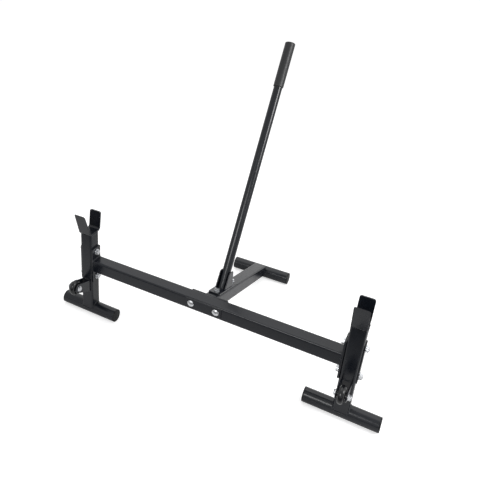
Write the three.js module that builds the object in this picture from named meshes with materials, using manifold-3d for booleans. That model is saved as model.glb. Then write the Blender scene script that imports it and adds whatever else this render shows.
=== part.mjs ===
// Deadlift jack: a crossbar between two uprights with bar cradles on top, round feet, small wheels
// ahead of the uprights, a sloping rear arm and a long lever handle.
// Millimetres. +X runs along the crossbar, +Y to the rear foot, +Z up. The origin lies on the floor
// under the middle of the whole jack.

import * as THREE from 'three';
import { mergeVertices } from 'three/addons/utils/BufferGeometryUtils.js';
import Module from 'manifold-3d';

// Layout of the frame
const uprightSpacing = 995;
const uprightTop = 369;
const crossbarHeight = 237;
const rearFootReach = 615;

// Square tube of the crossbar, the uprights and the rear arm
const tubeSide = 50;
const tubeWall = 3;
const tubeCorner = 7;

// Round tube feet and their plastic end caps
const footRadius = 25.4;
const footWall = 3;
const frontFootLength = 240;
const rearFootLength = 242;
const capThickness = 4;
const capEdgeRadius = 2.2;
const capCrown = 0.8;
const capPlugDepth = 14;

// Plates that bolt the crossbar to the uprights
const endPlateThickness = 6;
const endPlateWidth = 50;
const endPlateHeight = 148;
const endPlateCorner = 4;
const outerPlateThickness = 4;
const outerPlateWidth = 38;
const outerPlateHeight = 148;
const endBoltPitch = 110;

// Plates that bolt the rear arm to the crossbar
const frontPlateThickness = 3;
const frontPlateLength = 136;
const frontPlateHeight = 38;
const frontPlateCorner = 2;
const armPlateThickness = 6;
const armPlateLength = 138;
const armPlateHeight = 56;
const armPlateTopDrop = 3;
const armPlateCorner = 3;
const armBoltPitch = 94;
const armBoltRise = 3;

// Rear arm: how far its top starts below the crossbar's top and ends above the rear foot's top
const armTopDrop = 7;
const armRiseOverFoot = 12.3;
const armEndInset = 22;

// Bar cradles: one bent strip on each upright, with a long front wing and a shorter rear wing
const cradleThickness = 6;
const cradleWidth = 48;
const cradleBendRadius = 14;
const cradleFrontReach = 28.4;
const cradleRearReach = 35.8;
const cradleFrontHeight = 95;
const cradleRearHeight = 74.5;
const cradleFrontLean = THREE.MathUtils.degToRad(20.5);
const cradleRearLean = THREE.MathUtils.degToRad(6.6);
const cradleTipRadius = 7;

// Wheel brackets: one bent strip on the front of each upright, whose ears taper to the axle. Their
// top lies below the crossbar's middle by bracketDrop and the axle above their top by axleRise.
const bracketThickness = 4;
const bracketWidth = 35;
const bracketBendRadius = 6;
const bracketDrop = 68;
const bracketHeight = 52;
const bracketNoseRadius = 18;
const axleReach = 72;
const axleRise = 5;

// Wheels on their bushes
const wheelRadius = 29.5;
const wheelWidth = 19.6;
const wheelEdgeRadius = 8.5;
const wheelRimDepth = 9.5;
const wheelWebThickness = 11;
const wheelHubRadius = 11;
const bushRadius = 7;

// Handle: base plate on the arm, round tube, two side gussets and a grip
const basePlateLength = 208;
const basePlateWidth = 44;
const basePlateThickness = 5.5;
const basePlateCorner = 5;
const basePlateStart = 39;
const baseBoltPitch = 155;
const handleFootDistance = 119;
const handleRadius = 15.9;
const handleWall = 2.5;
const handleLength = 940;
const handleLean = THREE.MathUtils.degToRad(29.5);
const gussetThickness = 4;
const gussetHeight = 63;
const gussetFrontReach = 20;
const gussetRearReach = 51;
const gussetTopMargin = 3;
const gussetCornerRadius = 9;
const gripLength = 170;
const gripRadius = 18.8;
const gripEndThickness = 6;
const gripEdgeRadius = 3;

// Fasteners: the end plates take the large size and everything else the small one
const largeBolt = {
  radius: 6,
  acrossFlats: 18,
  headHeight: 7.5,
  nutHeight: 9.5,
  flangeRadius: 12.8,
  flangeThickness: 2.2,
  washerRadius: 12,
  washerThickness: 2.5,
};
const smallBolt = {
  radius: 5,
  acrossFlats: 16,
  headHeight: 6.4,
  nutHeight: 9.5,
  flangeRadius: 10.8,
  flangeThickness: 2,
  washerRadius: 10.5,
  washerThickness: 2,
};
const boltTipChamfer = 1;
const boltTipStandOut = 2;
const carriageHeadRadius = 12.3;
const carriageHeadHeight = 5.4;
const carriageHeadRim = 1;

// Clearances, and one overrun for every cut
const seatGap = 0.3;
const boreGap = 0.3;
const boltHoleGap = 0.5;
const runningGap = 0.4;
const overrun = 20;

// Facets round a full turn of each kind of round form, and half those along each rounded corner
const footFacets = 32;
const wheelFacets = 24;
const handleFacets = 28;
const fastenerFacets = 16;
const holeFacets = 12;
const cornerFacets = 2;
const edgeFacets = 1;
const treadFacets = 3;
const hexSides = 6;

// Places worked out from the sizes above
const uprightX = uprightSpacing / 2;
const tubeHalf = tubeSide / 2;
const crossbarTop = crossbarHeight + tubeHalf;
const bracketTop = crossbarHeight - bracketDrop;
const axleHeight = bracketTop + axleRise;
const crossbarLength = uprightSpacing - tubeSide - 2 * endPlateThickness;
const axleY = -tubeHalf - axleReach;
const frontEdge = axleY - wheelRadius;
const rearEdge = rearFootReach + footRadius;
const armStart = new THREE.Vector2(tubeHalf, crossbarTop - armTopDrop);
const armEnd = new THREE.Vector2(rearFootReach, 2 * footRadius + armRiseOverFoot);
const armFall = Math.atan2(armStart.y - armEnd.y, armEnd.x - armStart.x);
const armTopLength = armStart.distanceTo(armEnd);
const basePlateTop = seatGap + basePlateThickness;
const handleTilt = handleLean - armFall;

const X = new THREE.Vector3(1, 0, 0);
const Y = new THREE.Vector3(0, 1, 0);
const Z = new THREE.Vector3(0, 0, 1);

const wasm = await Module();
wasm.setup();

// A closed geometry as a solid: corners shared, facets of no area left out.
function toSolid(geometry) {
  const plain = geometry.clone();
  plain.deleteAttribute('normal');
  plain.deleteAttribute('uv');
  const merged = mergeVertices(plain);
  const corners = merged.index.array;
  const kept = [];
  for (let i = 0; i < corners.length; i += 3) {
    const [a, b, c] = [corners[i], corners[i + 1], corners[i + 2]];
    if (a !== b && b !== c && c !== a) kept.push(a, b, c);
  }
  return new wasm.Manifold(new wasm.Mesh({
    numProp: 3,
    vertProperties: merged.attributes.position.array,
    triVerts: Uint32Array.from(kept),
  }));
}

function toGeometry(solid) {
  const mesh = solid.getMesh();
  const geometry = new THREE.BufferGeometry();
  geometry.setAttribute('position', new THREE.BufferAttribute(mesh.vertProperties, 3));
  geometry.setIndex(new THREE.BufferAttribute(mesh.triVerts, 1));
  return geometry;
}

function cut(solid, ...cutters) {
  return cutters.reduce((rest, cutter) => rest.subtract(toSolid(cutter)), solid);
}

// Turns an outline drawn in (y, z) and pulled along x the right way up.
function standUp(geometry) {
  return geometry.applyMatrix4(new THREE.Matrix4().makeBasis(Y, Z, X));
}

// Pulls an outline evenly to both sides of its own plane.
function pull(shape, depth, facets = cornerFacets) {
  const options = { depth, bevelEnabled: false, curveSegments: facets };
  return new THREE.ExtrudeGeometry(shape, options).translate(0, 0, -depth / 2);
}

// Closed outline through corners [x, y, radius], each rounded by its own radius.
function roundedOutline(corners) {
  const points = corners.map(([x, y]) => new THREE.Vector2(x, y));
  const shape = new THREE.Shape();
  corners.forEach(([, , radius = 0], index) => {
    const here = points[index];
    const before = points.at(index - 1);
    const after = points[(index + 1) % points.length];
    if (radius === 0) {
      if (index === 0) shape.moveTo(here.x, here.y);
      else shape.lineTo(here.x, here.y);
      return;
    }
    const back = before.clone().sub(here).normalize();
    const ahead = after.clone().sub(here).normalize();
    const half = back.angleTo(ahead) / 2;
    const centre = back.clone().add(ahead).normalize().multiplyScalar(radius / Math.sin(half)).add(here);
    const start = here.clone().addScaledVector(back, radius / Math.tan(half)).sub(centre);
    const end = here.clone().addScaledVector(ahead, radius / Math.tan(half)).sub(centre);
    const clockwise = back.cross(ahead) > 0;
    shape.absarc(centre.x, centre.y, radius, start.angle(), end.angle(), clockwise);
  });
  return shape;
}

function roundedRectangle(width, height, radius) {
  const [x, y] = [width / 2, height / 2];
  return roundedOutline([[-x, -y, radius], [x, -y, radius], [x, y, radius], [-x, y, radius]]);
}

// Square tube along z, open at both ends.
function squareTube(length) {
  const shape = roundedRectangle(tubeSide, tubeSide, tubeCorner);
  const bore = tubeSide - 2 * tubeWall;
  shape.holes.push(roundedRectangle(bore, bore, tubeCorner - tubeWall));
  return pull(shape, length);
}

// Round tube along z, open at both ends.
function roundTube(radius, wall, length, facets) {
  const shape = new THREE.Shape().absarc(0, 0, radius, 0, 2 * Math.PI);
  shape.holes.push(new THREE.Path().absarc(0, 0, radius - wall, 0, 2 * Math.PI));
  return pull(shape, length, facets / 2);
}

// Solid turned round z from a closed outline drawn in (radius, height).
function turned(shape, facets, arcFacets = edgeFacets) {
  const points = shape.getPoints(arcFacets);
  if (!points[0].equals(points.at(-1))) points.push(points[0]);
  const geometry = new THREE.LatheGeometry(points, facets).rotateX(Math.PI / 2);
  return toSolid(geometry);
}

function pin(radius, length, axis, facets = holeFacets) {
  const geometry = new THREE.CylinderGeometry(radius, radius, length, facets);
  const turn = new THREE.Quaternion().setFromUnitVectors(Y, axis);
  return geometry.applyQuaternion(turn);
}

function slab(width, depth, height) {
  return new THREE.BoxGeometry(width, depth, height);
}

// Hexagon along z from z = 0, its far corners bevelled by a cone.
function hexagon(acrossFlats, height) {
  const radius = acrossFlats / Math.sqrt(3);
  const prism = new THREE.CylinderGeometry(radius, radius, height, hexSides).rotateX(Math.PI / 2);
  prism.translate(0, 0, height / 2);
  const bevel = radius - acrossFlats / 2;
  const cone = roundedOutline([
    [0, 0],
    [radius + bevel, 0],
    [radius + bevel, height - bevel],
    [radius - bevel, height],
    [0, height],
  ]);
  return toSolid(prism).intersect(turned(cone, 2 * hexSides));
}

// Bolt shank along z, from inside the head at the given height down to its tip.
function shank(radius, length, root) {
  return turned(roundedOutline([
    [0, -length],
    [radius - boltTipChamfer, -length],
    [radius, boltTipChamfer - length],
    [radius, root],
    [0, root],
  ]), fastenerFacets);
}

// Length of a bolt that clamps the given pieces and ends in a nut.
function boltLength(size, clamped) {
  return clamped + size.nutHeight + boltTipStandOut;
}

function hexBolt(size, length) {
  return hexagon(size.acrossFlats, size.headHeight).add(shank(size.radius, length, size.headHeight / 2));
}

// Hexagon bolt with a washer-like flange under its head.
function flangedBolt(size, length) {
  const flange = pin(size.flangeRadius, size.flangeThickness, Z, fastenerFacets);
  flange.translate(0, 0, size.flangeThickness / 2);
  return hexBolt(size, length).add(toSolid(flange));
}

function flangedNut(size) {
  const flange = pin(size.flangeRadius, size.flangeThickness, Z, fastenerFacets);
  flange.translate(0, 0, size.flangeThickness / 2);
  const body = hexagon(size.acrossFlats, size.nutHeight).add(toSolid(flange));
  return cut(body, pin(size.radius + boreGap, 2 * size.nutHeight + overrun, Z, fastenerFacets));
}

function washer(size) {
  const hole = size.radius + boreGap;
  return roundTube(size.washerRadius, size.washerRadius - hole, size.washerThickness, fastenerFacets);
}

// Carriage bolt: domed head, square neck and round shank.
function carriageBolt(size, neckSide, neckLength, length) {
  const domeHeight = carriageHeadHeight - carriageHeadRim;
  const domeRadius = (carriageHeadRadius ** 2 + domeHeight ** 2) / (2 * domeHeight);
  const domeAngle = Math.asin(carriageHeadRadius / domeRadius);
  const head = new THREE.Shape().moveTo(0, 0).lineTo(carriageHeadRadius, 0);
  head.absarc(0, carriageHeadHeight - domeRadius, domeRadius, Math.PI / 2 - domeAngle, Math.PI / 2);
  const root = carriageHeadRim / 2;
  const neck = slab(neckSide, neckSide, neckLength + root).translate(0, 0, (root - neckLength) / 2);
  return turned(head, fastenerFacets, cornerFacets).add(toSolid(neck)).add(shank(size.radius, length, root));
}

const finishes = {
  paint: { color: 0x1d1d20, roughness: 0.42, metalness: 0.25 },
  zinc: { color: 0xc8cbd0, roughness: 0.3, metalness: 1 },
  steel: { color: 0x8b8d90, roughness: 0.4, metalness: 1 },
  plastic: { color: 0x17181a, roughness: 0.55, metalness: 0 },
  rubber: { color: 0x141415, roughness: 0.75, metalness: 0 },
};

// Adds one named piece to a group, with its own material.
function place(group, name, shape, finish, [x, y, z] = [0, 0, 0]) {
  const geometry = shape.isBufferGeometry ? toGeometry(toSolid(shape)) : toGeometry(shape);
  const mesh = new THREE.Mesh(geometry, new THREE.MeshStandardMaterial(finishes[finish]));
  mesh.name = name;
  mesh.position.set(x, y, z);
  group.add(mesh);
  return mesh;
}

// Turns a piece so that its own z axis points along the given direction.
function aim(mesh, direction) {
  mesh.quaternion.setFromUnitVectors(Z, direction);
  return mesh;
}

const sides = [['left', -1], ['right', 1]];
const jack = new THREE.Group();
const frame = new THREE.Group();
frame.position.y = -(frontEdge + rearEdge) / 2;
jack.add(frame);

// Round foot tube along x with a cap in each end.
function addFoot(name, length, x, y) {
  const tube = roundTube(footRadius, footWall, length, footFacets).rotateY(Math.PI / 2);
  place(frame, name, tube, 'paint', [x, y, footRadius]);
  for (const [side, sign] of sides) {
    const cap = place(frame, `${name}_cap_${side}`, footCap(), 'plastic',
      [x + sign * (length / 2), y, footRadius]);
    aim(cap, X.clone().multiplyScalar(sign));
  }
}

// End cap: a crowned disc with a rounded edge, and a plug that grips inside the tube.
function footCap() {
  const plugRadius = footRadius - footWall - boreGap;
  return turned(roundedOutline([
    [0, -capPlugDepth],
    [plugRadius, -capPlugDepth],
    [plugRadius, 0],
    [footRadius, 0],
    [footRadius, capThickness - capCrown, capEdgeRadius],
    [0, capThickness],
  ]), footFacets);
}

// Upright: square tube coped over the round foot, with two bolt holes across it.
function upright() {
  const height = uprightTop - footRadius;
  const tube = squareTube(height).translate(0, 0, footRadius + height / 2);
  const saddle = pin(footRadius + seatGap, tubeSide + overrun, X, footFacets).translate(0, 0, footRadius);
  const holes = endBoltHeights().map((z) => (
    pin(largeBolt.radius + boltHoleGap, tubeSide + overrun, X).translate(0, 0, z)
  ));
  return cut(toSolid(tube), saddle, ...holes);
}

function endBoltHeights() {
  return [crossbarHeight - endBoltPitch / 2, crossbarHeight + endBoltPitch / 2];
}

// Upright plate in the (y, z) plane, centred on the crossbar's height, with the two bolt holes.
function boltedPlate(width, height, thickness) {
  const plate = standUp(pull(roundedRectangle(width, height, endPlateCorner), thickness));
  const holes = endBoltHeights().map((z) => (
    pin(largeBolt.radius + boltHoleGap, thickness + overrun, X).translate(0, 0, z)
  ));
  return cut(toSolid(plate.translate(0, 0, crossbarHeight)), ...holes);
}

// Bar cradle: a strip bent up at both ends, its wings leaning apart, with rounded tips.
function cradle() {
  const frontLean = Math.tan(cradleFrontLean);
  const rearLean = Math.tan(cradleRearLean);
  const frontWall = cradleThickness / Math.cos(cradleFrontLean);
  const rearWall = cradleThickness / Math.cos(cradleRearLean);
  const front = (height, inset) => -cradleFrontReach - height * frontLean + inset;
  const rear = (height, inset) => cradleRearReach + height * rearLean - inset;
  const innerBend = cradleBendRadius - cradleThickness;
  const tipDrop = cradleThickness * Math.sin(cradleFrontLean);
  const rearTipDrop = cradleThickness * Math.sin(cradleRearLean);
  const profile = roundedOutline([
    [front(cradleFrontHeight, 0), cradleFrontHeight],
    [front(0, 0), 0, cradleBendRadius],
    [rear(0, 0), 0, cradleBendRadius],
    [rear(cradleRearHeight, 0), cradleRearHeight],
    [rear(cradleRearHeight + rearTipDrop, rearWall), cradleRearHeight + rearTipDrop],
    [rear(cradleThickness, rearWall), cradleThickness, innerBend],
    [front(cradleThickness, frontWall), cradleThickness, innerBend],
    [front(cradleFrontHeight + tipDrop, frontWall), cradleFrontHeight + tipDrop],
  ]);
  const strip = toSolid(standUp(pull(profile, cradleWidth, 2 * cornerFacets)));
  const tips = [
    [front(cradleFrontHeight, 0), cradleFrontHeight, cradleFrontLean],
    [rear(cradleRearHeight, 0), cradleRearHeight, -cradleRearLean],
  ];
  const cutters = tips.flatMap(([y, z, lean]) => sides.map(([, sign]) => (
    cornerCutter(cradleTipRadius, sign, cradleWidth / 2).rotateX(lean).translate(0, y, z)
  )));
  return cut(strip, ...cutters);
}

// Block that rounds one upper corner of a plate in the (x, z) plane whose top edge lies on z = 0.
function cornerCutter(radius, sign, halfWidth) {
  const shape = new THREE.Shape().moveTo(-radius, overrun).lineTo(overrun, overrun);
  shape.lineTo(overrun, -radius).lineTo(0, -radius);
  shape.absarc(-radius, -radius, radius, 0, Math.PI / 2);
  const block = pull(shape, overrun).translate(halfWidth, 0, 0).rotateX(Math.PI / 2);
  return sign > 0 ? block : block.rotateZ(Math.PI);
}

// Wheel bracket: a strip bent round the wheel, cut to a side outline that tapers to a round nose.
function wheelBracket() {
  const half = bracketWidth / 2;
  const inner = half - bracketThickness;
  const nose = axleY - bracketNoseRadius - overrun;
  const web = -tubeHalf - bracketThickness;
  const bend = bracketBendRadius;
  const section = roundedOutline([
    [-half, nose],
    [-inner, nose],
    [-inner, web, bend - bracketThickness],
    [inner, web, bend - bracketThickness],
    [inner, nose],
    [half, nose],
    [half, -tubeHalf, bend],
    [-half, -tubeHalf, bend],
  ]);
  const height = 2 * (axleHeight + bracketNoseRadius);
  const strip = toSolid(pull(section, height).translate(0, 0, height / 2));
  const centre = new THREE.Vector2(axleY, axleHeight);
  const top = new THREE.Vector2(-tubeHalf, bracketTop).sub(centre);
  const bottom = new THREE.Vector2(-tubeHalf, bracketTop - bracketHeight).sub(centre);
  const noseStart = top.angle() + Math.acos(bracketNoseRadius / top.length());
  const noseEnd = bottom.angle() - Math.acos(bracketNoseRadius / bottom.length());
  const outline = new THREE.Shape().moveTo(-tubeHalf, bracketTop - bracketHeight);
  outline.lineTo(-tubeHalf, bracketTop);
  outline.absarc(centre.x, centre.y, bracketNoseRadius, noseStart, noseEnd);
  const side = toSolid(standUp(pull(outline, bracketWidth + overrun, fastenerFacets / 2)));
  const hole = pin(smallBolt.radius + boreGap, bracketWidth + overrun, X);
  return cut(strip.intersect(side), hole.translate(0, axleY, axleHeight));
}

// Wheel: rounded tread, recessed sides and a hub that runs between the bracket's ears.
function wheel() {
  const bore = bushRadius + runningGap;
  const hub = bracketWidth / 2 - bracketThickness - runningGap;
  const [face, web] = [wheelWidth / 2, wheelWebThickness / 2];
  const rim = wheelRadius - wheelRimDepth;
  return turned(roundedOutline([
    [bore, -hub],
    [wheelHubRadius, -hub],
    [wheelHubRadius, -web],
    [rim, -web],
    [rim, -face],
    [wheelRadius, -face, wheelEdgeRadius],
    [wheelRadius, face, wheelEdgeRadius],
    [rim, face],
    [rim, web],
    [wheelHubRadius, web],
    [wheelHubRadius, hub],
    [bore, hub],
  ]), wheelFacets, treadFacets);
}

// Crossbar with its two bolt holes, its end plates and the plates clamped over its middle
const armBoltXs = [['left', -armBoltPitch / 2], ['right', armBoltPitch / 2]];
const armBoltHeight = crossbarHeight + armBoltRise;
const barHoles = (z) => armBoltXs.map(([, x]) => (
  pin(smallBolt.radius + boltHoleGap, tubeSide + overrun, Y).translate(x, 0, armBoltHeight - z)
));
const bar = toSolid(squareTube(crossbarLength).rotateY(Math.PI / 2));
place(frame, 'crossbar', cut(bar, ...barHoles(crossbarHeight)), 'paint', [0, 0, crossbarHeight]);

const neckSide = 2 * smallBolt.radius;
const frontPlate = pull(roundedRectangle(frontPlateLength, frontPlateHeight, frontPlateCorner),
  frontPlateThickness).rotateX(Math.PI / 2);
const neckHoles = armBoltXs.map(([, x]) => (
  slab(neckSide + 2 * boreGap, frontPlateThickness + overrun, neckSide + 2 * boreGap).translate(x, 0, 0)
));
place(frame, 'crossbar_front_plate', cut(toSolid(frontPlate), ...neckHoles), 'paint',
  [0, -tubeHalf - frontPlateThickness / 2, armBoltHeight]);

const armPlateCentre = crossbarTop - armPlateTopDrop - armPlateHeight / 2;
const armPlate = pull(roundedRectangle(armPlateLength, armPlateHeight, armPlateCorner),
  armPlateThickness).rotateX(Math.PI / 2);
place(frame, 'rear_arm_plate', cut(toSolid(armPlate), ...barHoles(armPlateCentre)), 'paint',
  [0, tubeHalf + armPlateThickness / 2, armPlateCentre]);

const clampedDepth = frontPlateThickness + tubeSide + armPlateThickness + seatGap;
for (const [side, x] of armBoltXs) {
  const front = -tubeHalf - frontPlateThickness - seatGap;
  const rear = tubeHalf + armPlateThickness + seatGap;
  const bolt = carriageBolt(smallBolt, neckSide, frontPlateThickness, boltLength(smallBolt, clampedDepth));
  aim(place(frame, `carriage_bolt_${side}`, bolt, 'zinc', [x, front, armBoltHeight]), Y.clone().negate());
  aim(place(frame, `carriage_nut_${side}`, flangedNut(smallBolt), 'zinc', [x, rear, armBoltHeight]), Y);
}

// Each side: foot, upright, cradle, end plates with their bolts, and the wheel in its bracket
for (const [side, sign] of sides) {
  const x = sign * uprightX;
  const inward = X.clone().multiplyScalar(-sign);
  const outward = X.clone().multiplyScalar(sign);
  addFoot(`front_foot_${side}`, frontFootLength, x, 0);
  place(frame, `upright_${side}`, upright(), 'paint', [x, 0, 0]);
  place(frame, `cradle_${side}`, cradle(), 'paint', [x, 0, uprightTop]);

  const innerPlateX = x - sign * (tubeHalf + endPlateThickness / 2);
  const outerPlateX = x + sign * (tubeHalf + outerPlateThickness / 2);
  const endPlate = boltedPlate(endPlateWidth, endPlateHeight, endPlateThickness);
  const outerPlate = boltedPlate(outerPlateWidth, outerPlateHeight, outerPlateThickness);
  place(frame, `crossbar_end_plate_${side}`, endPlate, 'paint', [innerPlateX, 0, 0]);
  place(frame, `upright_backing_plate_${side}`, outerPlate, 'paint', [outerPlateX, 0, 0]);

  const washerX = x - sign * (tubeHalf + endPlateThickness + seatGap + largeBolt.washerThickness / 2);
  const headX = x - sign * (tubeHalf + endPlateThickness + 2 * seatGap + largeBolt.washerThickness);
  const nutX = x + sign * (tubeHalf + outerPlateThickness + seatGap);
  endBoltHeights().forEach((z, index) => {
    const level = ['lower', 'upper'][index];
    const bolt = hexBolt(largeBolt, boltLength(largeBolt, Math.abs(nutX - headX)));
    const name = `${level}_${side}`;
    aim(place(frame, `upright_bolt_${name}`, bolt, 'zinc', [headX, 0, z]), inward);
    aim(place(frame, `upright_washer_${name}`, washer(largeBolt), 'zinc', [washerX, 0, z]), inward);
    aim(place(frame, `upright_nut_${name}`, flangedNut(largeBolt), 'zinc', [nutX, 0, z]), outward);
  });

  const earOuter = bracketWidth / 2 + seatGap;
  const earInner = bracketWidth / 2 - bracketThickness;
  const bushLength = 2 * (earInner - seatGap);
  const bushWall = bushRadius - smallBolt.radius - boreGap;
  const axle = flangedBolt(smallBolt, boltLength(smallBolt, 2 * earOuter));
  place(frame, `wheel_bracket_${side}`, wheelBracket(), 'paint', [x, 0, 0]);
  aim(place(frame, `wheel_${side}`, wheel(), 'plastic', [x, axleY, axleHeight]), X);
  aim(place(frame, `wheel_bush_${side}`, roundTube(bushRadius, bushWall, bushLength, fastenerFacets),
    'steel', [x, axleY, axleHeight]), X);
  aim(place(frame, `wheel_axle_bolt_${side}`, axle, 'zinc',
    [x - sign * earOuter, axleY, axleHeight]), inward);
  aim(place(frame, `wheel_axle_nut_${side}`, flangedNut(smallBolt), 'zinc',
    [x + sign * earOuter, axleY, axleHeight]), outward);
}

// Rear foot and the arm that slopes down to it. In the arm's own group y runs down along its top
// face and z stands square on it.
addFoot('rear_foot', rearFootLength, 0, rearFootReach);
const arm = new THREE.Group();
arm.position.set(0, armStart.x, armStart.y);
arm.rotation.x = -armFall;
arm.updateMatrix();
frame.add(arm);
const intoArm = arm.matrix.clone().invert();

function rearArm() {
  const tube = squareTube(armTopLength + 2 * overrun).rotateX(Math.PI / 2);
  tube.translate(0, armTopLength / 2, -tubeHalf);
  const reach = tubeHalf + armPlateThickness + seatGap;
  const tall = 2 * uprightTop;
  const frontBlock = slab(tubeSide + overrun, tall, tall).translate(0, reach - tall / 2, 0);
  const rearBlock = slab(tubeSide + overrun, tall, tall);
  rearBlock.translate(0, rearFootReach - armEndInset + tall / 2, 0);
  const saddle = pin(footRadius + seatGap, tubeSide + overrun, X, footFacets);
  saddle.translate(0, rearFootReach, footRadius);
  const cutters = [frontBlock, rearBlock, saddle].map((cutter) => cutter.applyMatrix4(intoArm));
  const holes = baseBoltYs().map((y) => (
    pin(smallBolt.radius + boltHoleGap, 2 * tubeSide + overrun, Z).translate(0, y, -tubeHalf)
  ));
  return cut(toSolid(tube), ...cutters, ...holes);
}

function baseBoltYs() {
  const centre = basePlateStart + basePlateLength / 2;
  return [centre - baseBoltPitch / 2, centre + baseBoltPitch / 2];
}

function basePlate() {
  const plate = pull(roundedRectangle(basePlateWidth, basePlateLength, basePlateCorner), basePlateThickness);
  plate.translate(0, basePlateStart + basePlateLength / 2, seatGap + basePlateThickness / 2);
  const holes = baseBoltYs().map((y) => (
    pin(smallBolt.radius + boltHoleGap, 2 * basePlateTop + overrun, Z).translate(0, y, 0)
  ));
  return cut(toSolid(plate), ...holes);
}

place(arm, 'rear_arm', rearArm(), 'paint');
place(arm, 'handle_base_plate', basePlate(), 'paint');
baseBoltYs().forEach((y, index) => {
  const end = ['front', 'rear'][index];
  const washerZ = basePlateTop + seatGap + smallBolt.washerThickness / 2;
  const headZ = basePlateTop + 2 * seatGap + smallBolt.washerThickness;
  const nutZ = -tubeSide - seatGap;
  const bolt = hexBolt(smallBolt, boltLength(smallBolt, headZ - nutZ));
  place(arm, `handle_bolt_${end}`, bolt, 'zinc', [0, y, headZ]);
  place(arm, `handle_washer_${end}`, washer(smallBolt), 'zinc', [0, y, washerZ]);
  aim(place(arm, `handle_nut_${end}`, flangedNut(smallBolt), 'zinc', [0, y, nutZ]), Z.clone().negate());
});

// Handle: its own group stands on the base plate, with z along the tube
const handle = new THREE.Group();
handle.position.set(0, handleFootDistance, basePlateTop);
handle.rotation.x = -handleTilt;
handle.updateMatrix();
arm.add(handle);
const intoHandle = handle.matrix.clone().invert();

function handleTube() {
  const length = handleLength - gripEndThickness - seatGap;
  const tube = roundTube(handleRadius, handleWall, length + overrun, handleFacets);
  tube.translate(0, 0, (length - overrun) / 2);
  const floor = slab(2 * tubeSide, 2 * tubeSide, 2 * tubeSide);
  floor.translate(0, handleFootDistance, basePlateTop + seatGap - tubeSide).applyMatrix4(intoHandle);
  return cut(toSolid(tube), floor);
}

// Grip: a sleeve over the tube's end, closed and rounded at the top.
function grip() {
  const bore = handleRadius + boreGap;
  const start = handleLength - gripLength;
  return turned(roundedOutline([
    [bore, start],
    [gripRadius, start, gripEdgeRadius / 2],
    [gripRadius, handleLength, gripEdgeRadius],
    [0, handleLength],
    [0, handleLength - gripEndThickness],
    [bore, handleLength - gripEndThickness],
  ]), handleFacets);
}

// Side gusset: stands on the base plate, as wide as the tube at its top and wider at its foot.
function gusset() {
  const lean = gussetHeight * Math.tan(handleTilt);
  const halfTube = handleRadius / Math.cos(handleTilt);
  const outline = roundedOutline([
    [-gussetFrontReach, seatGap],
    [gussetRearReach, seatGap],
    [lean + halfTube + gussetTopMargin, gussetHeight, gussetCornerRadius],
    [lean - halfTube, gussetHeight, gussetCornerRadius],
  ]);
  return standUp(pull(outline, gussetThickness));
}

place(handle, 'handle_tube', handleTube(), 'paint');
place(handle, 'handle_grip', grip(), 'rubber');
for (const [side, sign] of sides) {
  const x = sign * (handleRadius + seatGap + gussetThickness / 2);
  place(arm, `handle_gusset_${side}`, gusset(), 'paint', [x, handleFootDistance, basePlateTop]);
}

export default jack;
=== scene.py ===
# Deadlift jack: its powder-coated steel frame, zinc-plated bolts, moulded caps and wheels, and grip.
# Metres. +X runs along the crossbar, +Y to the rear foot, +Z up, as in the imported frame.

import math

import bmesh
import bpy
from mathutils import Matrix, Vector, noise


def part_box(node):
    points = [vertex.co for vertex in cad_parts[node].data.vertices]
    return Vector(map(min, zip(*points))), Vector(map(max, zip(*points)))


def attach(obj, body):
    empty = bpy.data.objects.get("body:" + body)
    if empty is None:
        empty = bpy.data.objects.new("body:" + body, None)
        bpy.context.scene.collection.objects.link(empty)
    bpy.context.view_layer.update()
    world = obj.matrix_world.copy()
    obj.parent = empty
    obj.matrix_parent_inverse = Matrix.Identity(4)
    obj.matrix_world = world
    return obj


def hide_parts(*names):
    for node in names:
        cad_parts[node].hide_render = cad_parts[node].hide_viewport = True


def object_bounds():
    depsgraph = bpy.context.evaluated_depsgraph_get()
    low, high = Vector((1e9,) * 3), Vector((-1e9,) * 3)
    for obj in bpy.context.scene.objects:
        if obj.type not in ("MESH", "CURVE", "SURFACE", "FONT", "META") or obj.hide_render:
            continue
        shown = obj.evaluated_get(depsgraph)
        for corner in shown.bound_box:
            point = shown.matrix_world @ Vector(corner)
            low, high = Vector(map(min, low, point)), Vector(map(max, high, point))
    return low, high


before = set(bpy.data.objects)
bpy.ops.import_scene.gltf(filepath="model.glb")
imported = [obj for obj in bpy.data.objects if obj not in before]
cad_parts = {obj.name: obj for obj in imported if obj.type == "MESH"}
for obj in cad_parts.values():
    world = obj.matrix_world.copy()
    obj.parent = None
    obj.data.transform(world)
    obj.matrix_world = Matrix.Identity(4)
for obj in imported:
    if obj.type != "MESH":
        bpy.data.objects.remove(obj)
cad_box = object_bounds()

MM = 0.001
X = Vector((1, 0, 0))
Y = Vector((0, 1, 0))
Z = Vector((0, 0, 1))
SIDES = ("left", "right")

# Steel sizes that the frame's boxes do not give
TUBE_WALL = 3 * MM
TUBE_CORNER = 7 * MM
SEAT_GAP = 0.3 * MM
ARM_TOP_DROP = 7 * MM
ARM_RISE_OVER_FOOT = 12.3 * MM
ARM_END_INSET = 22 * MM
ARM_FACE_DEPTH = 6 * MM
BASE_PLATE_THICKNESS = 5.5 * MM
HANDLE_FOOT_DISTANCE = 119 * MM
HANDLE_RADIUS = 15.9 * MM
HANDLE_WALL = 2.5 * MM
HANDLE_LENGTH = 940 * MM
HANDLE_LEAN = math.radians(29.5)
GRIP_RADIUS = 18.8 * MM
GRIP_LENGTH = 170 * MM
GRIP_END_THICKNESS = 6 * MM
GUSSET_THICKNESS = 4 * MM
GUSSET_FRONT_REACH = 20 * MM
GUSSET_REAR_REACH = 51 * MM

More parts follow.
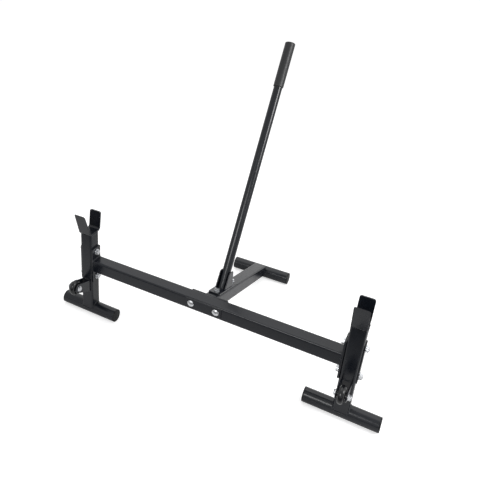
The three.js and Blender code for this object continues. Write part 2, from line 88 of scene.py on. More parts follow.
# Feet, their caps, and the wheels
FOOT_WALL = 3 * MM
CAP_THICKNESS = 4 * MM
CAP_CROWN = 0.8 * MM
CAP_EDGE = 2.2 * MM
CAP_PLUG_DEPTH = 14 * MM
CAP_SHOULDER_SHARE = 0.6
CAP_SHOULDER_DROP_SHARE = 0.2
WHEEL_EDGE = 8.5 * MM
WHEEL_RIM_DEPTH = 9.5 * MM
WHEEL_WIDTH = 19.6 * MM
WHEEL_WEB = 11 * MM
WHEEL_HUB_RADIUS = 11 * MM
WHEEL_BORE = 7.4 * MM
WHEEL_SEAM = 0.15 * MM

# Softened edges: how far each kind of edge is rounded
STEEL_EDGE = 1.2 * MM
CRADLE_EDGE = 1.9 * MM
BOLT_EDGE = 0.35 * MM
PLASTIC_EDGE = 0.6 * MM
TUBE_END_EDGE = 0.7 * MM
GRIP_EDGE = 3.4 * MM

# How sharp an edge has to be to be rounded and in how many steps, and how strongly large faces
# set the shading beside it, where 50 is neutral
EDGE_ANGLE = math.radians(50)
EDGE_SEGMENTS = 2
FLAT_FACE_WEIGHT = 80

# How near two corners have to lie to be one, and how flat an edge has to be to go
SAME_POINT = 0.001 * MM
FLAT_ANGLE = math.radians(0.5)

# Steps round each turned form and along its rounded edges, and round a square tube
TURN_STEPS = 96
ARC_STEPS = 6
TUBE_ARC_STEPS = 8
TUBE_FLAT_STEPS = 10

# Weld beads: fillet size and the pitch and depth of their ripples, as laid by a hand-held torch
WELD_RADIUS = 2.4 * MM
SMALL_WELD_RADIUS = 1.8 * MM
WELD_RIPPLE_PITCH = 2.6 * MM
WELD_RIPPLE_SHARE = 0.16

# How much a bead's size wanders, over what length, and with what share of its size it starts
WELD_WANDER_SHARE = 0.08
WELD_WANDER_LENGTH = 6 * MM
WELD_START_SHARE = 0.25

# Steps along a bead and round it, how far short of the arm's flat end the bead on its cope stops,
# and how far the beads of a wheel bracket stay from its corners
WELD_STEP = 0.65 * MM
WELD_SIDES = 8
COPE_TOLERANCE = 0.01 * MM
BRACKET_WELD_MARGIN = 4 * MM

# Threads on the bolt tips that stand out of their nuts
THREAD_PITCH = 1.5 * MM
THREAD_CREST = 0.2 * MM
THREAD_ROOT = 0.05 * MM
THREAD_STEPS = 32
LAYERS_PER_PITCH = 8
TIP_CHAMFER = 1 * MM
TIP_START = 0.6 * MM

# How deep below a bolt's tip its end face and its shank are looked for
TIP_FACE_DEPTH = 0.05 * MM
TIP_REACH = 1.5 * MM


# Places worked out from the frame

def middle(node):
    """Middle of a node's box at rest."""
    low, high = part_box(node)
    return (low + high) / 2


def extent(node):
    """Lengths of a node's box along X, Y and Z."""
    low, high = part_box(node)
    return high - low


def corners_of(node):
    """Every corner of a node's own mesh."""
    return [vertex.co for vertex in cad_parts[node].data.vertices]


bar_middle = middle("crossbar")
tube_half = extent("crossbar").z / 2
upright_y = middle("upright_left").y
foot_radius = extent("rear_foot").z / 2
foot_middle = middle("rear_foot")

arm_start = Vector((0, bar_middle.y + tube_half, bar_middle.z + tube_half - ARM_TOP_DROP))
arm_end = Vector((0, foot_middle.y, 2 * foot_radius + ARM_RISE_OVER_FOOT))
arm_run = (arm_end - arm_start).normalized()
arm_rise = X.cross(arm_run)
arm_fall = math.atan2(-arm_run.z, arm_run.y)
arm_frame = Matrix.Translation(arm_start) @ Matrix.Rotation(-arm_fall, 4, "X")
plate_top = SEAT_GAP + BASE_PLATE_THICKNESS
handle_tilt = HANDLE_LEAN - arm_fall
handle_frame = (arm_frame @ Matrix.Translation((0, HANDLE_FOOT_DISTANCE, plate_top))
                @ Matrix.Rotation(-handle_tilt, 4, "X"))


# Materials

def linear(code):
    """Linear colour of an sRGB hex code."""
    shares = [int(code[i:i + 2], 16) / 255 for i in (1, 3, 5)]
    return [*(s / 12.92 if s <= 0.04045 else ((s + 0.055) / 1.055) ** 2.4 for s in shares), 1]


def add(tree, kind, inputs=(), **settings):
    """Adds a node with its settings, its input values and its links."""
    made = tree.nodes.new(kind)
    for name, value in settings.items():
        setattr(made, name, value)
    for socket, value in dict(inputs).items():
        if isinstance(value, bpy.types.NodeSocket):
            tree.links.new(value, made.inputs[socket])
        else:
            made.inputs[socket].default_value = value
    return made


def new_material(name):
    """An empty material and its node tree."""
    made = bpy.data.materials.new(name)
    made.use_nodes = True
    made.node_tree.nodes.clear()
    return made, made.node_tree


# Between these values of the patch noise the roughness runs from its least to its most
PATCH_RANGE = (0.3, 0.7)


def per_metre(size):
    """Scale of a noise whose features measure about the given size."""
    return 1 / size


def grained_surface(name, colours, roughness, grain, mottle, bump, surface):
    """Surface with mottled colour and roughness and a fine bumpy grain, both of real sizes.

    bump gives the grain's strength and depth, and surface the shader's own settings.
    """
    made, tree = new_material(name)
    place = add(tree, "ShaderNodeTexCoord").outputs["Object"]
    patches = add(tree, "ShaderNodeTexNoise", {
        "Vector": place, "Scale": per_metre(mottle), "Detail": 3, "Roughness": 0.55}).outputs["Fac"]
    grains = add(tree, "ShaderNodeTexNoise", {
        "Vector": place, "Scale": per_metre(grain), "Detail": 2, "Roughness": 0.5}).outputs["Fac"]
    tint = add(tree, "ShaderNodeMix", {0: patches, 6: linear(colours[0]), 7: linear(colours[1])},
               data_type="RGBA")
    shine = add(tree, "ShaderNodeMapRange", {
        "Value": patches, "From Min": PATCH_RANGE[0], "From Max": PATCH_RANGE[1],
        "To Min": roughness[0], "To Max": roughness[1]})
    relief = add(tree, "ShaderNodeBump", {"Strength": bump[0], "Distance": bump[1], "Height": grains})
    shader = add(tree, "ShaderNodeBsdfPrincipled", {
        "Base Color": tint.outputs[2], "Roughness": shine.outputs["Result"],
        "Normal": relief.outputs["Normal"], **surface})
    add(tree, "ShaderNodeOutputMaterial", {"Surface": shader.outputs["BSDF"]})
    return made


# Polyester powder baked on steel: satin black with a cold cast, even, with a faint orange peel.
powder_coated_steel = grained_surface(
    "powder_coated_steel", ("#0c0f15", "#11151c"), (0.2, 0.26), grain=2.4 * MM, mottle=45 * MM,
    bump=(0.06, 0.12 * MM), surface={"IOR": 1.5})

# Weld metal under the same powder: the coat thins over the ripples and shines a little more.
powder_coated_weld = grained_surface(
    "powder_coated_weld", ("#0f1218", "#161a21"), (0.2, 0.28), grain=1.2 * MM, mottle=9 * MM,
    bump=(0.2, 0.15 * MM), surface={"IOR": 1.5})

# Clear-passivated zinc on cold-formed steel: bright, slightly blue, with cloudy patches.
zinc_plated_steel = grained_surface(
    "zinc_plated_steel", ("#dee1e5", "#f0f1f3"), (0.2, 0.34), grain=0.7 * MM, mottle=5 * MM,
    bump=(0.08, 0.05 * MM), surface={"Metallic": 1.0})

# Turned free-cutting steel, left bare inside the wheels.
turned_steel = grained_surface(
    "turned_steel", ("#9a9b9d", "#b3b4b5"), (0.25, 0.4), grain=0.5 * MM, mottle=6 * MM,
    bump=(0.1, 0.05 * MM), surface={"Metallic": 1.0})

# Injection-moulded polyethylene caps: black with a fine spark-eroded grain, duller than the coat.
moulded_polyethylene = grained_surface(
    "moulded_polyethylene", ("#0b0c0e", "#101214"), (0.5, 0.6), grain=0.9 * MM, mottle=18 * MM,
    bump=(0.18, 0.08 * MM), surface={"IOR": 1.51, "Specular IOR Level": 0.3})

# Injection-moulded nylon wheels: deep black, smoother and glossier than the caps.
moulded_nylon = grained_surface(
    "moulded_nylon", ("#0a0b0e", "#101215"), (0.16, 0.24), grain=1.1 * MM, mottle=14 * MM,
    bump=(0.1, 0.06 * MM), surface={"IOR": 1.53})

# Dip-moulded PVC grip: black, leathery, with a broad soft highlight.
moulded_vinyl = grained_surface(
    "moulded_vinyl", ("#17181a", "#1e1f21"), (0.4, 0.5), grain=1.0 * MM, mottle=22 * MM,
    bump=(0.16, 0.1 * MM), surface={"IOR": 1.53})


# Making pieces

def new_piece(name, mesh_data, material, body, replaced=()):
    """One named piece of the object, smoothly shaded, that rides on a body."""
    piece = bpy.data.objects.new(name, mesh_data)
    bpy.context.scene.collection.objects.link(piece)
    mesh_data.materials.clear()
    mesh_data.materials.append(material)
    for face in mesh_data.polygons:
        face.use_smooth = True
        face.material_index = 0
    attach(piece, body)
    if replaced:
        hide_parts(*replaced)
    return piece


def even_normals(piece):
    """Keeps flat faces flat and lets only the rounded edges between them turn the light."""
    shading = piece.modifiers.new("even_normals", "WEIGHTED_NORMAL")
    shading.mode = "FACE_AREA"
    shading.weight = FLAT_FACE_WEIGHT
    shading.keep_sharp = False


def soften(piece, edge):
    """Rounds every sharp edge of a piece by a small radius."""
    rounding = piece.modifiers.new("rounded_edges", "BEVEL")
    rounding.width = edge
    rounding.segments = EDGE_SEGMENTS
    rounding.limit_method = "ANGLE"
    rounding.angle_limit = EDGE_ANGLE
    rounding.use_clamp_overlap = True
    even_normals(piece)


def finished(node, edge, material):
    """The node's own form with its edges rounded, in its real finish."""
    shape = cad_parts[node].data.copy()
    work = bmesh.new()
    work.from_mesh(shape)
    bmesh.ops.remove_doubles(work, verts=work.verts, dist=SAME_POINT)
    bmesh.ops.dissolve_limit(work, angle_limit=FLAT_ANGLE, verts=work.verts, edges=work.edges)
    work.to_mesh(shape)
    work.free()
    shape.name = f"{node}_finished"
    soften(new_piece(shape.name, shape, material, "frame", [node]), edge)


def mesh_from(name, work):
    """The finished mesh of a work in progress, its faces turned outwards."""
    bmesh.ops.recalc_face_normals(work, faces=work.faces)
    mesh_data = bpy.data.meshes.new(name)
    work.to_mesh(mesh_data)
    work.free()
    return mesh_data


def bridge(work, ring, after):
    """Faces between two rings, where a ring of one point is a pole."""
    count = max(len(ring), len(after))
    for i in range(count):
        n = (i + 1) % count
        near = [ring[i % len(ring)], ring[n % len(ring)]]
        far = [after[n % len(after)], after[i % len(after)]]
        corners = list(dict.fromkeys(near + far))
        if len(corners) > 2:
            work.faces.new(corners)


def mesh_from_rings(name, rings):
    """Closed skin over rings, the last joined back to the first."""
    work = bmesh.new()
    loops = [[work.verts.new(point) for point in ring] for ring in rings]
    for ring, after in zip(loops, loops[1:] + loops[:1]):
        bridge(work, ring, after)
    return mesh_from(name, work)


def rounded(corners):
    """Closed outline through corners (a, b, radius), each rounded by its own radius."""
    points = []
    for i, (a, b, radius) in enumerate(corners):
        here = Vector((a, b))
        if radius == 0:
            points.append(here)
            continue
        back = (Vector(corners[i - 1][:2]) - here).normalized()
        ahead = (Vector(corners[(i + 1) % len(corners)][:2]) - here).normalized()
        half = back.angle(ahead) / 2
        centre = here + (back + ahead).normalized() * radius / math.sin(half)
        start = here + back * radius / math.tan(half) - centre
        sweep = (here + ahead * radius / math.tan(half) - centre).angle_signed(start)
        for step in range(ARC_STEPS + 1):
            points.append(centre + Matrix.Rotation(sweep * step / ARC_STEPS, 2) @ start)
    return points


def circle(centre, axis, radius):
    """Points round an axis; one point where the radius is zero."""
    side = axis.orthogonal().normalized()
    other = axis.cross(side)
    turns = [2 * math.pi * k / TURN_STEPS for k in range(TURN_STEPS if radius > 0 else 1)]
    return [centre + radius * (math.cos(t) * side + math.sin(t) * other) for t in turns]


def skinned(node, rings, material, body="frame"):
    """Fine form with a closed skin over rings that replaces a node, in its real finish."""
    name = f"{node}_finished"
    even_normals(new_piece(name, mesh_from_rings(name, rings), material, body, [node]))


def turned(node, corners, centre, axis, material, body="frame"):
    """Fine turned form that replaces a node, from its outline of (radius, height, rounding)."""
    rings = [circle(centre + axis * height, axis, radius) for radius, height in rounded(corners)]
    skinned(node, rings, material, body)


# Square tubes of the frame

def square_outline(inset=0.0):
    """Points round the square tube's section, the same number for every inset."""
    reach = tube_half - TUBE_CORNER
    radius = TUBE_CORNER - inset
    corner = Vector((reach, reach))
    points = []
    for quarter in range(4):
        spin = Matrix.Rotation(quarter * math.pi / 2, 2)
        for step in range(TUBE_ARC_STEPS + 1):
            angle = step / TUBE_ARC_STEPS * math.pi / 2
            points.append(spin @ (corner + radius * Vector((math.cos(angle), math.sin(angle)))))
        for step in range(1, TUBE_FLAT_STEPS):
            across = reach * (1 - 2 * step / TUBE_FLAT_STEPS)
            points.append(spin @ Vector((across, tube_half - inset)))
    return points


def square_tube(node, at, start, end):
    """Hollow square tube. at(u, v, s) places the point (u, v) of its section at s along it, and
    start(u, v) and end(u, v) say how far along it the tube starts and ends there."""
    edge = TUBE_END_EDGE
    wall = TUBE_WALL
    skin = [(edge, 0, start), (0, edge, start), (0, -edge, end), (edge, 0, end)]
    bore = [(wall - edge, 0, end), (wall, -edge, end), (wall, edge, start), (wall - edge, 0, start)]
    rings = []
    for inset, shift, reach in skin + bore:
        rings.append([at(u, v, reach(u, v) + shift) for u, v in square_outline(inset)])
    skinned(node, rings, powder_coated_steel)


# Weld beads

def evenly(points, step, closed):
    """The same path in even steps."""
    stops = list(points) + ([points[0]] if closed else [])
    travelled = [0.0]
    for a, b in zip(stops, stops[1:]):
        travelled.append(travelled[-1] + (b - a).length)
    count = max(4, round(travelled[-1] / step))
    path = []
    leg = 0
    for i in range(count if closed else count + 1):
        distance = travelled[-1] * i / count
        while leg < len(stops) - 2 and travelled[leg + 1] < distance:
            leg += 1
        share = (distance - travelled[leg]) / max(travelled[leg + 1] - travelled[leg], 1e-9)
        path.append(stops[leg].lerp(stops[leg + 1], min(1, share)))
    return path


def bead_rings(points, radius, closed):
    """Rings of a rippled bead along a path, tapered at the ends where the path is open."""
    path = evenly(points, WELD_STEP, closed)
    count = len(path)
    rings = []
    side = None
    for i, point in enumerate(path):
        before = path[i - 1] if closed or i > 0 else point
        after = path[(i + 1) % count] if closed or i < count - 1 else point
        ahead = (after - before).normalized()
        if side is None:
            side = ahead.orthogonal().normalized()
        side = (side - ahead * side.dot(ahead)).normalized()
        other = ahead.cross(side)
        ripple = abs(math.sin(math.pi * i * WELD_STEP / WELD_RIPPLE_PITCH))
        wander = WELD_WANDER_SHARE * noise.noise(point * per_metre(WELD_WANDER_LENGTH))
        size = radius * (1 - WELD_RIPPLE_SHARE * (1 - ripple) + wander)
        if not closed:
            nearest = min(i, count - 1 - i) * WELD_STEP
            size *= min(1, WELD_START_SHARE + nearest / (2 * radius))
        turns = [2 * math.pi * k / WELD_SIDES for k in range(WELD_SIDES)]
        rings.append([point + size * (math.cos(t) * side + math.sin(t) * other) for t in turns])
    return rings


def weld(name, *paths):
    """One piece for the beads of one joint; each path is (points, radius, closed)."""
    work = bmesh.new()
    for points, radius, closed in paths:
        loops = [[work.verts.new(p) for p in ring] for ring in bead_rings(points, radius, closed)]
        for ring, after in zip(loops, loops[1:] + (loops[:1] if closed else [])):
            bridge(work, ring, after)
        if not closed:
            work.faces.new(loops[0])
            work.faces.new(loops[-1])
    new_piece(name, mesh_from(name, work), powder_coated_weld, "frame")


# Crossbar, uprights and rear arm with their welds

def foot_saddle(y_from_middle):
    """Height of a foot's rounded top over the foot's middle, at a distance from it."""
    radius = foot_radius + SEAT_GAP
    return math.sqrt(max(radius ** 2 - y_from_middle ** 2, 0))


def make_crossbar():
    """Square tube between the end plates, with a bead round each of its ends."""
    low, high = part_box("crossbar")

    def at(u, v, s):
        return Vector((s, bar_middle.y + u, bar_middle.z + v))

    square_tube("crossbar", at, lambda u, v: low.x, lambda u, v: high.x)
    outline = square_outline()
    for side, x in zip(SIDES, (low.x, high.x)):
        weld(f"crossbar_end_weld_{side}", ([at(u, v, x) for u, v in outline], WELD_RADIUS, True))


def make_upright(side):
    """Square tube coped over its foot, with the foot's bead and the two beads of its cradle."""
    node = f"upright_{side}"
    centre = middle(node)
    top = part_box(node)[1].z

    def at(u, v, s):
        return Vector((centre.x + u, upright_y + v, s))

    def saddle(u, v):
        return foot_radius + foot_saddle(v)

    square_tube(node, at, saddle, lambda u, v: top)
    outline = square_outline()
    weld(f"{node}_foot_weld", ([at(u, v, saddle(u, v)) for u, v in outline], WELD_RADIUS, True))
    flat = tube_half - TUBE_CORNER
    edge_x = extent(f"cradle_{side}").x / 2
    seams = [[at(x, -flat, top), at(x, flat, top)] for x in (-edge_x, edge_x)]
    weld(f"cradle_{side}_weld", *[(seam, WELD_RADIUS, False) for seam in seams])


def make_rear_arm():
    """Sloping square tube, cut upright at both ends and coped over the rear foot, with its beads."""
    centre = arm_start - arm_rise * tube_half

    def at(u, v, s):
        return centre + X * u + arm_rise * v + arm_run * s

    def reach_plane(y, v):
        return (y - at(0, v, 0).y) / arm_run.y

    def start(u, v):
        return reach_plane(bar_middle.y + tube_half + ARM_FACE_DEPTH + SEAT_GAP, v)

    def end(u, v):
        flat_end = reach_plane(foot_middle.y - ARM_END_INSET, v)
        across = at(0, v, 0) - Vector((0, foot_middle.y, foot_middle.z))
        along = across.dot(arm_run)
        room = along ** 2 - across.length_squared + (foot_radius + SEAT_GAP) ** 2
        return min(flat_end, -along - math.sqrt(room)) if room > 0 else flat_end

    square_tube("rear_arm", at, start, end)
    outline = square_outline()
    weld("rear_arm_plate_weld", ([at(u, v, start(u, v)) for u, v in outline], WELD_RADIUS, True))
    last_y = foot_middle.y - ARM_END_INSET - COPE_TOLERANCE
    coped = [at(u, v, end(u, v)) for u, v in outline]
    first = next(i for i in range(len(coped)) if coped[i - 1].y > last_y > coped[i].y)
    seam = [p for p in coped[first:] + coped[:first] if p.y < last_y]
    weld("rear_arm_foot_weld", (seam, WELD_RADIUS, False))


def make_bracket_welds(side):
    """Beads along the sides and the top of the bracket's web, where it lies on the upright."""
    node = f"wheel_bracket_{side}"
    low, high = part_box(node)
    face = upright_y - tube_half
    web = [p.z for p in corners_of(node) if p.y > face - BRACKET_WELD_MARGIN]
    ends = (min(web) + BRACKET_WELD_MARGIN, max(web) - BRACKET_WELD_MARGIN)
    sides = (low.x + STEEL_EDGE, high.x - STEEL_EDGE)
    seams = [([Vector((x, face, z)) for z in ends], SMALL_WELD_RADIUS, False) for x in sides]
    across = (low.x + BRACKET_WELD_MARGIN, high.x - BRACKET_WELD_MARGIN)
    seams.append(([Vector((x, face, max(web))) for x in across], WELD_RADIUS, False))
    weld(f"{node}_weld", *seams)


def sloped_ring(radius, lift):
    """Points round the handle's axis where it meets the slope of its base plate."""
    spots = circle(Vector(), Z, radius)
    return [handle_frame @ Vector((p.x, p.y, lift + p.y * math.tan(handle_tilt))) for p in spots]


def make_handle_welds():
    """Beads round the handle's foot and along the outside of each gusset."""
    paths = [(sloped_ring(HANDLE_RADIUS, 0), WELD_RADIUS, True)]
    outer = HANDLE_RADIUS + SEAT_GAP + GUSSET_THICKNESS
    for x in (-outer, outer):
        ends = [arm_frame @ Vector((x, HANDLE_FOOT_DISTANCE + reach, plate_top))
                for reach in (-GUSSET_FRONT_REACH, GUSSET_REAR_REACH)]
        paths.append((ends, SMALL_WELD_RADIUS, False))
    weld("handle_foot_weld", *paths)


# Round feet, caps, wheels, handle and grip

def make_foot(node):
    """Round tube and the crowned cap at each of its ends."""
    half = extent(node).x / 2
    bore = foot_radius - FOOT_WALL
    turned(node, [
        (bore, -half, 0),
        (foot_radius, -half, TUBE_END_EDGE),
        (foot_radius, half, TUBE_END_EDGE),
        (bore, half, 0),
    ], middle(node), X, powder_coated_steel)
    plug = bore - SEAT_GAP
    shoulder = CAP_SHOULDER_SHARE * foot_radius
    shoulder_drop = CAP_SHOULDER_DROP_SHARE * CAP_CROWN
    for side, sign in zip(SIDES, (-1, 1)):
        turned(f"{node}_cap_{side}", [
            (0, -CAP_PLUG_DEPTH, 0),
            (plug, -CAP_PLUG_DEPTH, PLASTIC_EDGE),
            (plug, 0, 0),
            (foot_radius, 0, 0),
            (foot_radius, CAP_THICKNESS - CAP_CROWN, CAP_EDGE),
            (shoulder, CAP_THICKNESS - shoulder_drop, 0),
            (0, CAP_THICKNESS, 0),
        ], middle(node) + X * sign * half, X * sign, moulded_polyethylene)


def make_wheel(side):
    """Roller with a rounded tread, a moulding seam round it, recessed sides and a raised hub."""
    node = f"wheel_{side}"
    hub = extent(node).x / 2
    radius = extent(node).z / 2
    face = WHEEL_WIDTH / 2
    web = WHEEL_WEB / 2
    rim = radius - WHEEL_RIM_DEPTH
    half = [
        (radius - WHEEL_SEAM, WHEEL_SEAM, 0),
        (radius - WHEEL_SEAM, face, WHEEL_EDGE),
        (rim, face, PLASTIC_EDGE),
        (rim, web, PLASTIC_EDGE),
        (WHEEL_HUB_RADIUS, web, PLASTIC_EDGE),
        (WHEEL_HUB_RADIUS, hub, PLASTIC_EDGE),
        (WHEEL_BORE, hub, PLASTIC_EDGE),
    ]
    mirrored = [(r, -h, rounding) for r, h, rounding in reversed(half)]
    turned(node, mirrored + [(radius, 0, 0)] + half, middle(node), X, moulded_nylon,
           body=node)


def make_handle():
    """Round tube cut to the slope of its base plate, and the grip over its end."""
    foot = handle_frame.translation
    along = handle_frame.to_3x3() @ Z
    top = HANDLE_LENGTH - GRIP_END_THICKNESS - SEAT_GAP
    bore = HANDLE_RADIUS - HANDLE_WALL
    lift = SEAT_GAP / math.cos(handle_tilt)

    def level_ring(radius):
        return [handle_frame @ Vector((p.x, p.y, top)) for p in circle(Vector(), Z, radius)]

    rings = [sloped_ring(HANDLE_RADIUS, lift), level_ring(HANDLE_RADIUS), level_ring(bore),
             sloped_ring(bore, lift)]
    skinned("handle_tube", rings, powder_coated_steel)
    start = HANDLE_LENGTH - GRIP_LENGTH
    inside = HANDLE_RADIUS + SEAT_GAP
    turned("handle_grip", [
        (inside, start, 0),
        (GRIP_RADIUS, start, GRIP_EDGE / 2),
        (GRIP_RADIUS, HANDLE_LENGTH, GRIP_EDGE),
        (0, HANDLE_LENGTH, 0),
        (0, HANDLE_LENGTH - GRIP_END_THICKNESS, 0),
        (inside, HANDLE_LENGTH - GRIP_END_THICKNESS, 0),
    ], foot, along, moulded_vinyl)


def make_thread(bolt, nut, away):
    """Threaded tip of a bolt, from inside its nut to its chamfer; away points out of the nut."""
    points = corners_of(bolt)
    tip = max(p.dot(away) for p in points)
    last = [p for p in points if p.dot(away) > tip - TIP_FACE_DEPTH]
    hub = sum(last, Vector()) / len(last)
    shank = [p - hub for p in points if p.dot(away) > tip - TIP_REACH]
    radius = max((p - away * p.dot(away)).length for p in shank)
    nut_face = max(p.dot(away) for p in corners_of(nut))
    length = tip - nut_face + THREAD_PITCH
    layers = math.ceil(length / THREAD_PITCH * LAYERS_PER_PITCH)
    side = away.orthogonal().normalized()
    other = away.cross(side)
    rings = [[hub - away * TIP_START]]
    for layer in range(layers + 1):
        down = TIP_START + (length - TIP_START) * layer / layers
        ring = []
        for step in range(THREAD_STEPS):
            share = step / THREAD_STEPS
            height = abs(((down / THREAD_PITCH + share) % 1) * 2 - 1)
            size = radius - THREAD_ROOT + (THREAD_CREST + THREAD_ROOT) * height
            size = min(size, radius - TIP_CHAMFER + down)
            turn = 2 * math.pi * share
            ring.append(hub - away * down + size * (math.cos(turn) * side + math.sin(turn) * other))
        rings.append(ring)
    rings.append([hub - away * length])
    name = f"{bolt}_thread"
    new_piece(name, mesh_from_rings(name, rings), zinc_plated_steel, "frame")


# Plates, strips and fasteners, whose own forms only need rounded edges

def make_plates_and_strips():
    """Flat plates and bent strips; the cradles have the roundest edges."""
    plates = ["crossbar_front_plate", "rear_arm_plate", "handle_base_plate"]
    for side in SIDES:
        plates += [f"crossbar_end_plate_{side}", f"upright_backing_plate_{side}",
                   f"wheel_bracket_{side}", f"handle_gusset_{side}"]
        finished(f"cradle_{side}", CRADLE_EDGE, powder_coated_steel)
    for node in plates:
        finished(node, STEEL_EDGE, powder_coated_steel)


def make_fasteners():
    """Bolts with their threaded tips, washers, nuts and the wheels' bushes."""
    kinds = ("bolt", "washer", "nut")
    nodes = [f"handle_{kind}_{end}" for kind in kinds for end in ("front", "rear")]
    threads = [(f"handle_bolt_{end}", f"handle_nut_{end}", -arm_rise) for end in ("front", "rear")]
    for side, out in zip(SIDES, (-X, X)):
        for fastener, away in (("wheel_axle", out), ("carriage", Y)):
            bolt = f"{fastener}_bolt_{side}"
            nut = f"{fastener}_nut_{side}"
            nodes += [bolt, nut]
            threads.append((bolt, nut, away))
        for level in ("lower", "upper"):
            bolt, washer, nut = [f"upright_{kind}_{level}_{side}" for kind in kinds]
            nodes += [bolt, washer, nut]
            threads.append((bolt, nut, out))
        finished(f"wheel_bush_{side}", BOLT_EDGE, turned_steel)
    for node in nodes:
        finished(node, BOLT_EDGE, zinc_plated_steel)
    for bolt, nut, away in threads:
        make_thread(bolt, nut, away)


make_crossbar()
make_rear_arm()
make_handle()
make_handle_welds()
for foot in ("front_foot_left", "front_foot_right", "rear_foot"):
    make_foot(foot)
for part_side in SIDES:
    make_upright(part_side)
    make_bracket_welds(part_side)
    make_wheel(part_side)
make_plates_and_strips()
make_fasteners()


# Floor, lights and camera. The studio is a white table before a white wall. On the camera's side
# the table ends and the room is darker, so faces that look up and back shine the most.

# The floor that the camera sees, with a glow of its own that makes it white, and the room's light
FLOOR_SIZE = 40
FLOOR_PAINT = "#e6e6e6"
FLOOR_GLOW = 0.53
WHITE = "#ffffff"
ROOM_LIGHT = 0.63

# The walls that gloss mirrors, behind and before the object, which fade into each other
BACK_WALL = 0.95
FRONT_WALL = 0.62
WALL_FADE = 0.45

# How much of the table's white gloss mirrors, and of what lies beyond its end. In metres: where
# on Y the table ends at X = 0, how much nearer for each metre of X, and how softly, either way
TABLE_MIRRORED = 0.9
BEYOND_TABLE = 0.12
TABLE_END = -0.65
TABLE_SLANT = 0.15
TABLE_FADE = 0.2

# The lamps' places and sizes in metres
LAMPS = {
    "overhead_softbox": {
        "place": (-0.4, 0.9, 3.2), "target": (0, 0, 0.2), "size": (3.4, 2.6), "watts": 17},
    "side_softbox": {
        "place": (2.15, -0.28, 1.85), "target": (0, 0.2, 0.8), "size": (0.8, 1.3), "watts": 34},
    "front_softbox": {
        "place": (-0.1, -2.15, 1.45), "target": (0, 0, 0.3), "size": (1.0, 0.6), "watts": 11},
}


def seen_directly(tree):
    """The ray kinds, and 1 for rays from the camera and those that gloss or glass sends on."""
    rays = add(tree, "ShaderNodeLightPath").outputs
    gloss = add(tree, "ShaderNodeMath", {0: rays["Is Glossy Ray"], 1: rays["Is Transmission Ray"]},
                operation="MAXIMUM")
    both = add(tree, "ShaderNodeMath", {0: rays["Is Camera Ray"], 1: gloss.outputs[0]},
               operation="MAXIMUM")
    return rays, both.outputs[0]


def make_floor():
    """Matt white floor that glows for the camera alone and, in gloss, fades where the table ends."""
    bpy.ops.mesh.primitive_plane_add(size=FLOOR_SIZE, location=(0, 0, cad_box[0].z))
    floor = bpy.context.object
    floor.name = "studio_floor"
    made, tree = new_material("white_studio_floor")
    rays, seen = seen_directly(tree)
    level = add(tree, "ShaderNodeMath", {0: rays["Is Camera Ray"], 1: FLOOR_GLOW},
                operation="MULTIPLY")
    place = add(tree, "ShaderNodeTexCoord").outputs["Object"]
    spot = add(tree, "ShaderNodeSeparateXYZ", {"Vector": place}).outputs
    depth = add(tree, "ShaderNodeMath", {0: spot["X"], 1: -TABLE_SLANT, 2: spot["Y"]},
                operation="MULTIPLY_ADD").outputs[0]
    table = add(tree, "ShaderNodeMapRange", {
        "Value": depth, "From Min": TABLE_END - TABLE_FADE, "From Max": TABLE_END + TABLE_FADE,
        "To Min": BEYOND_TABLE, "To Max": TABLE_MIRRORED}, interpolation_type="SMOOTHSTEP")
    lit = add(tree, "ShaderNodeMath", {0: table.outputs["Result"], 1: rays["Is Camera Ray"]},
              operation="MAXIMUM")
    paint = add(tree, "ShaderNodeBsdfDiffuse", {"Color": linear(FLOOR_PAINT)})
    glow = add(tree, "ShaderNodeEmission", {"Color": linear(WHITE), "Strength": level.outputs[0]})
    bright = add(tree, "ShaderNodeAddShader", {0: paint.outputs["BSDF"], 1: glow.outputs["Emission"]})
    shown = add(tree, "ShaderNodeMixShader", {0: lit.outputs[0], 2: bright.outputs["Shader"]})
    mixed = add(tree, "ShaderNodeMixShader", {
        0: seen, 1: paint.outputs["BSDF"], 2: shown.outputs["Shader"]})
    add(tree, "ShaderNodeOutputMaterial", {"Surface": mixed.outputs["Shader"]})
    floor.data.materials.append(made)


def make_world():
    """Even room light on matt surfaces, walls of two levels in gloss, and white for the camera."""
    world = bpy.data.worlds.new("studio")
    bpy.context.scene.world = world
    world.use_nodes = True
    tree = world.node_tree
    tree.nodes.clear()
    rays, seen = seen_directly(tree)
    towards = add(tree, "ShaderNodeTexCoord").outputs["Generated"]
    back = add(tree, "ShaderNodeSeparateXYZ", {"Vector": towards}).outputs["Y"]
    wall = add(tree, "ShaderNodeMapRange", {
        "Value": back, "From Min": -WALL_FADE, "From Max": WALL_FADE,
        "To Min": FRONT_WALL, "To Max": BACK_WALL}, interpolation_type="SMOOTHSTEP")
    level = add(tree, "ShaderNodeMix", {0: rays["Is Camera Ray"], 2: wall.outputs["Result"], 3: 1.0},
                data_type="FLOAT")
    room = add(tree, "ShaderNodeBackground", {"Color": linear(WHITE), "Strength": ROOM_LIGHT})
    white = add(tree, "ShaderNodeBackground", {"Color": linear(WHITE), "Strength": level.outputs[0]})
    mixed = add(tree, "ShaderNodeMixShader", {
        0: seen, 1: room.outputs["Background"], 2: white.outputs["Background"]})
    add(tree, "ShaderNodeOutputWorld", {"Surface": mixed.outputs["Shader"]})


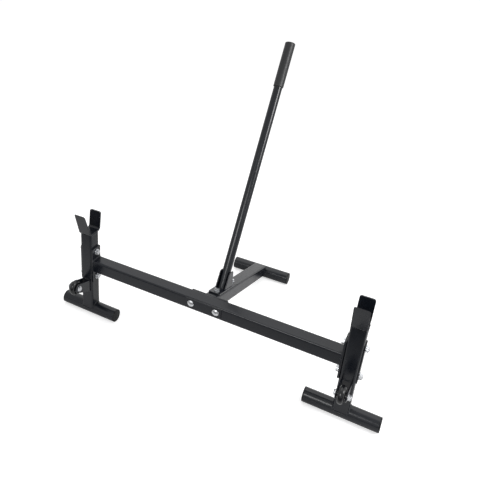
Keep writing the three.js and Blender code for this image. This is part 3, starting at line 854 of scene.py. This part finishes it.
def area_light(name, place, target, size, watts):
    """Soft rectangular lamp that faces a target and that the camera doesn't see."""
    lamp = bpy.data.lights.new(name, "AREA")
    lamp.shape = "RECTANGLE"
    lamp.size, lamp.size_y = size
    lamp.energy = watts
    holder = bpy.data.objects.new(name, lamp)
    bpy.context.scene.collection.objects.link(holder)
    holder.location = place
    holder.rotation_mode = "QUATERNION"
    holder.rotation_quaternion = (Vector(target) - Vector(place)).to_track_quat("-Z", "Y")
    holder.visible_camera = False


# Camera of the photograph, from a fit to the uprights, feet and arm
PICTURE = 480
FOCAL_PIXELS = 557.1
CENTRE_PIXEL = (146.4, 180.7)
CAMERA_FROM_UPRIGHTS = Vector((602.7, -1470.4, 1452.7)) * MM
CAMERA_YAW = math.radians(30.21)
CAMERA_PITCH = math.radians(-25.31)
CAMERA_ROLL = math.radians(1.42)
CLIP_DISTANCE = 100


def make_camera():
    """Camera at the photograph's place, angle and framing."""
    lens = bpy.data.cameras.new("photo_camera")
    holder = bpy.data.objects.new("photo_camera", lens)
    bpy.context.scene.collection.objects.link(holder)
    ahead = Vector((-math.sin(CAMERA_YAW) * math.cos(CAMERA_PITCH),
                    math.cos(CAMERA_YAW) * math.cos(CAMERA_PITCH), math.sin(CAMERA_PITCH)))
    level = Vector((math.cos(CAMERA_YAW), math.sin(CAMERA_YAW), 0))
    above = level.cross(ahead)
    right = level * math.cos(CAMERA_ROLL) + above * math.sin(CAMERA_ROLL)
    up = above * math.cos(CAMERA_ROLL) - level * math.sin(CAMERA_ROLL)
    turn = Matrix((right, up, -ahead)).transposed()
    place = CAMERA_FROM_UPRIGHTS + Vector((0, upright_y, 0))
    holder.matrix_world = Matrix.Translation(place) @ turn.to_4x4()
    lens.lens = FOCAL_PIXELS / PICTURE * lens.sensor_width
    lens.shift_x = (PICTURE / 2 - CENTRE_PIXEL[0]) / PICTURE
    lens.shift_y = (CENTRE_PIXEL[1] - PICTURE / 2) / PICTURE
    lens.clip_end = CLIP_DISTANCE
    bpy.context.scene.camera = holder


make_floor()
make_world()
for lamp_name, settings in LAMPS.items():
    area_light(lamp_name, **settings)
make_camera()
bpy.context.scene.view_settings.view_transform = "Standard"
